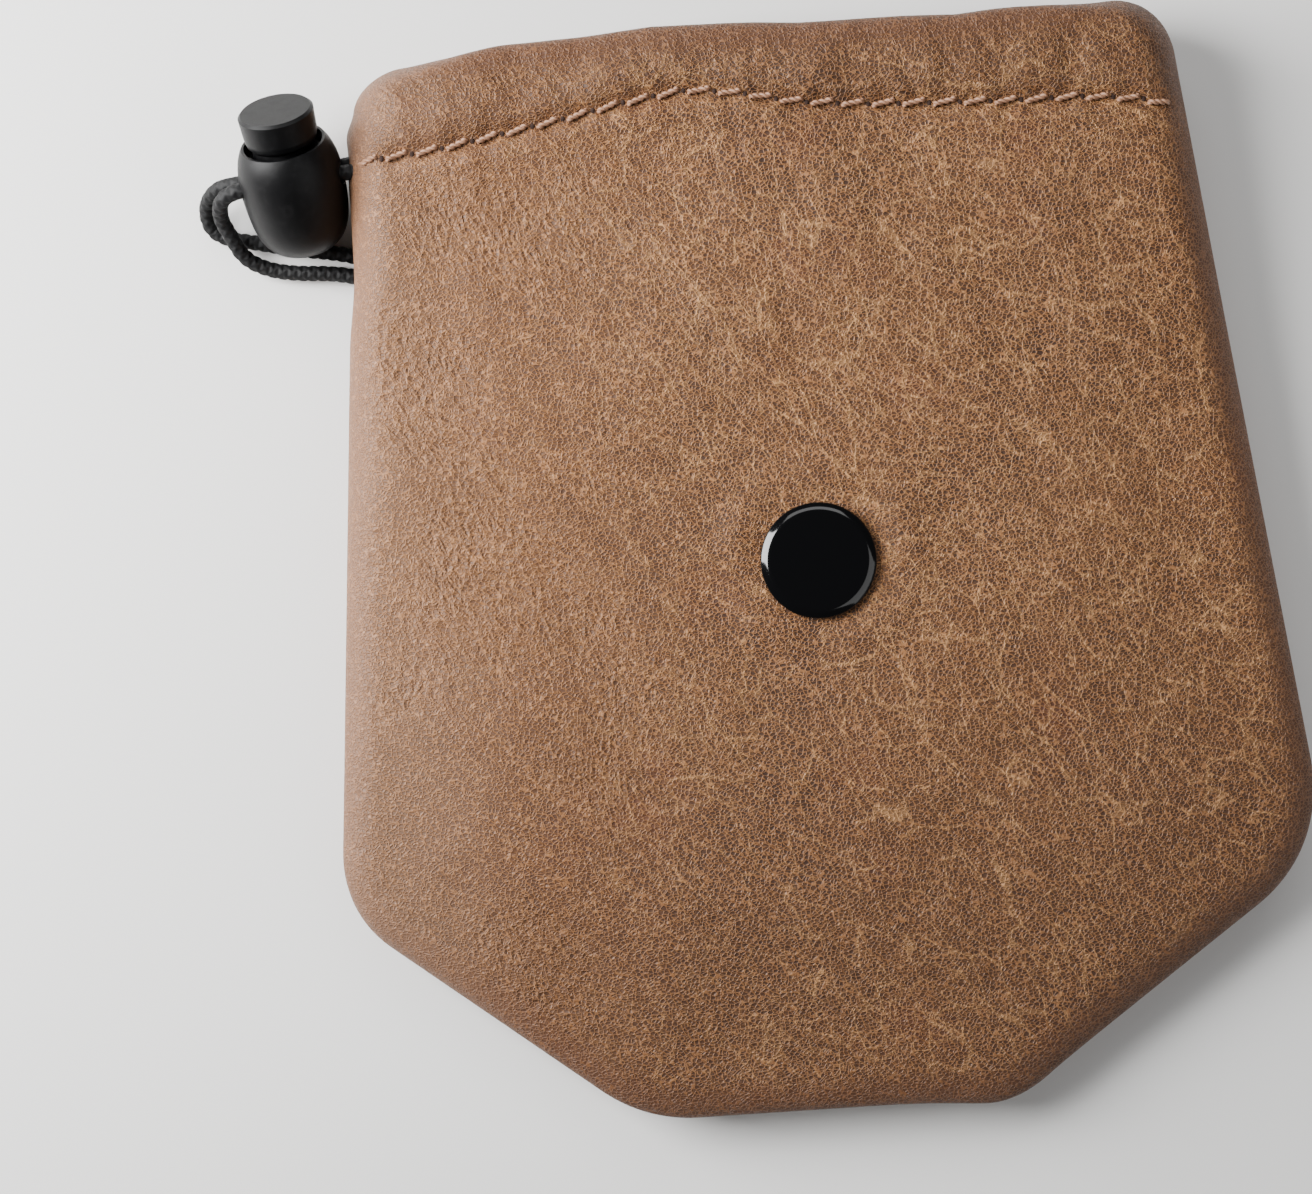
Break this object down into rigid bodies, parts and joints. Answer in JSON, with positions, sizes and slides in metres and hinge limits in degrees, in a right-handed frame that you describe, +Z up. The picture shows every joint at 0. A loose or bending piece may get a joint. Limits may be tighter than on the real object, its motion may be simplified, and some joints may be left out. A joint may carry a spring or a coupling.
{
  "type": "drawstring dice bag",
  "caption": "Soft leather drawstring bag for dice, with chamfered base, stitched hem, cord lock on a looped cord and a press snap at its middle.",
  "frame": {"origin": "on the surface that the bag lies on, at the middle of the back cap of the press snap", "axes": "+Z up out of the front of the bag, +Y towards the mouth, +X to the right as the front is seen"},
  "size_m": [0.1408, 0.1414, 0.0187],
  "materials": {
    "leather": "pebbled, aged tan with paler creases",
    "thread": "twisted sewing thread",
    "snap_black": "gloss black enamel",
    "snap_steel": "plated steel",
    "spring_steel": "bright wire",
    "lock_plastic": "fine satin black",
    "cord": "braided black cord"
  },
  "bodies": {
    "bag": {"front_panel": "leather", "back_panel": "leather", "drawstring": "cord", "snap_stud": "snap_steel", "snap_back_cap": "snap_black"},
    "cord_lock": {"lock_barrel": "lock_plastic", "lock_spring": "spring_steel", "drawstring_tail_upper": "cord", "drawstring_tail_lower": "cord", "tail_knot": "cord"},
    "plunger": {"lock_plunger": "lock_plastic"},
    "snap_front": {"snap_front_cap": "snap_black", "snap_socket": "snap_steel", "snap_spring": "spring_steel"}
  },
  "joints": [
    {"name": "cord_lock_slide", "type": "slide", "parent": "bag", "child": "cord_lock", "axis": [-0.9945, -0.1045, 0], "range_m": [0, 0.012]},
    {"name": "plunger_press", "type": "slide", "parent": "cord_lock", "child": "plunger", "axis": [0.0846, -0.8046, -0.5878], "range_m": [0, 0.003], "stiffness_N_per_m": 900, "springref_m": -0.002, "deforming": ["lock_spring"]},
    {"name": "snap_press", "type": "slide", "parent": "bag", "child": "snap_front", "axis": [0, 0, -1], "range_m": [0, 0.0042], "stiffness_N_per_m": 300, "deforming": ["front_panel", "snap_spring"]}
  ]
}
